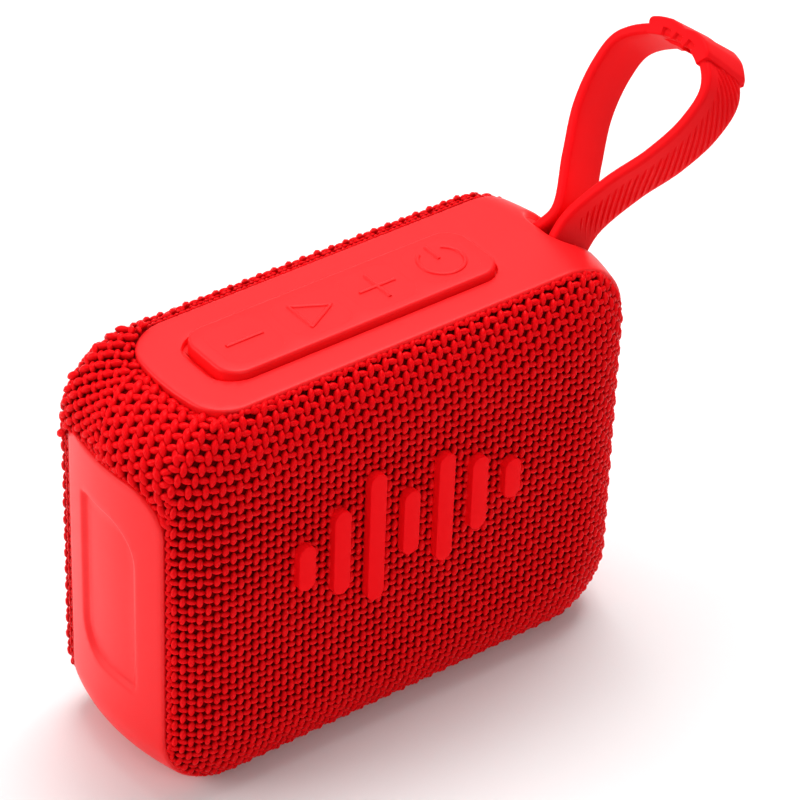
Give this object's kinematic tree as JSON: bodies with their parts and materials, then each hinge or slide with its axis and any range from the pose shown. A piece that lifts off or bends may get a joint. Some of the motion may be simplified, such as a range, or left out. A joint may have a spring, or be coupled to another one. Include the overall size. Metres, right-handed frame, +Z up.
{
  "type": "portable speaker",
  "caption": "Pocket speaker with a woven wrap over pillowed faces, press keys on top and a moulded wrist strap that swings on a pin in its corner slot.",
  "frame": {"origin": "on the resting face of the lower band, under the middle of the body", "axes": "+X along the body's width towards the strap corner, +Y from the front cover to the rear cover, +Z up"},
  "size_m": [0.1231, 0.0396, 0.1086],
  "materials": {
    "cloth": "woven polyester, plain weave",
    "panel_red": "satin soft-touch moulding",
    "key_red": "satin silicone",
    "strap_red": "satin silicone with fine ribs",
    "emblem_red": "satin gloss",
    "shell_plastic": "fine texture",
    "black_plastic": "fine texture",
    "black_rubber": "satin",
    "foam": "open cell foam",
    "board": "solder mask",
    "steel": "brushed",
    "cone_paper": "pressed pulp",
    "cell_wrap": "shrink wrap"
  },
  "bodies": {
    "housing": {"front_shell": "shell_plastic", "rear_shell": "shell_plastic", "top_band": "panel_red", "base_band": "panel_red", "front_cloth": "cloth", "rear_cloth": "cloth", "corner_cloth_upper": "cloth", "corner_cloth_lower": "cloth", "button_pad": "key_red", "main_board": "board", "switch_minus": "black_plastic", "switch_play": "black_plastic", "switch_plus": "black_plastic", "switch_power": "black_plastic", "side_board": "board", "port_socket": "steel", "driver_gasket": "foam", "driver_basket": "black_plastic", "driver_magnet": "steel", "driver_surround": "black_rubber", "radiator_frame": "black_plastic", "radiator_surround": "black_rubber", "battery_cell": "cell_wrap", "battery_cradle": "black_plastic", "cover_screw_1": "steel", "cover_screw_2": "steel", "cover_screw_3": "steel", "cover_screw_4": "steel", "strap_cup": "shell_plastic", "strap_pin": "steel", "emblem_bar_1": "emblem_red", "emblem_bar_2": "emblem_red", "emblem_bar_3": "emblem_red", "emblem_bar_4": "emblem_red", "emblem_bar_5": "emblem_red", "emblem_bar_6": "emblem_red", "emblem_bar_7": "emblem_red"},
    "minus_key": {"key_minus": "key_red"},
    "play_key": {"key_play": "key_red"},
    "plus_key": {"key_plus": "key_red"},
    "power_key": {"key_power": "key_red"},
    "strap": {"strap_band": "strap_red", "strap_clasp": "strap_red"},
    "flap": {"port_flap": "key_red"},
    "cone": {"driver_cone": "cone_paper", "dust_cap": "cone_paper", "voice_coil": "cone_paper"},
    "radiator": {"radiator_plate": "steel"}
  },
  "joints": [
    {"name": "minus_press", "type": "slide", "parent": "housing", "child": "minus_key", "axis": [0, 0, -1], "range_m": [0, 0.0004], "stiffness_N_per_m": 4000},
    {"name": "play_press", "type": "slide", "parent": "housing", "child": "play_key", "axis": [0, 0, -1], "range_m": [0, 0.0004], "stiffness_N_per_m": 4000},
    {"name": "plus_press", "type": "slide", "parent": "housing", "child": "plus_key", "axis": [0, 0, -1], "range_m": [0, 0.0004], "stiffness_N_per_m": 4000},
    {"name": "power_press", "type": "slide", "parent": "housing", "child": "power_key", "axis": [0, 0, -1], "range_m": [0, 0.0004], "stiffness_N_per_m": 4000},
    {"name": "strap_swing", "type": "hinge", "parent": "housing", "child": "strap", "pos_m": [0.04157, 0, 0.06837], "axis": [-0.7986, 0, 0.6018], "range_deg": [-22, 22]},
    {"name": "flap_hinge", "type": "hinge", "parent": "housing", "child": "flap", "pos_m": [0.0492, 0, 0.02295], "axis": [0, 1, 0], "range_deg": [0, 100]},
    {"name": "cone_stroke", "type": "slide", "parent": "housing", "child": "cone", "axis": [0, 1, 0], "range_m": [-0.001, 0.001], "stiffness_N_per_m": 1500},
    {"name": "radiator_stroke", "type": "slide", "parent": "housing", "child": "radiator", "axis": [0, 1, 0], "range_m": [-0.0015, 0.0015], "stiffness_N_per_m": 1500}
  ]
}
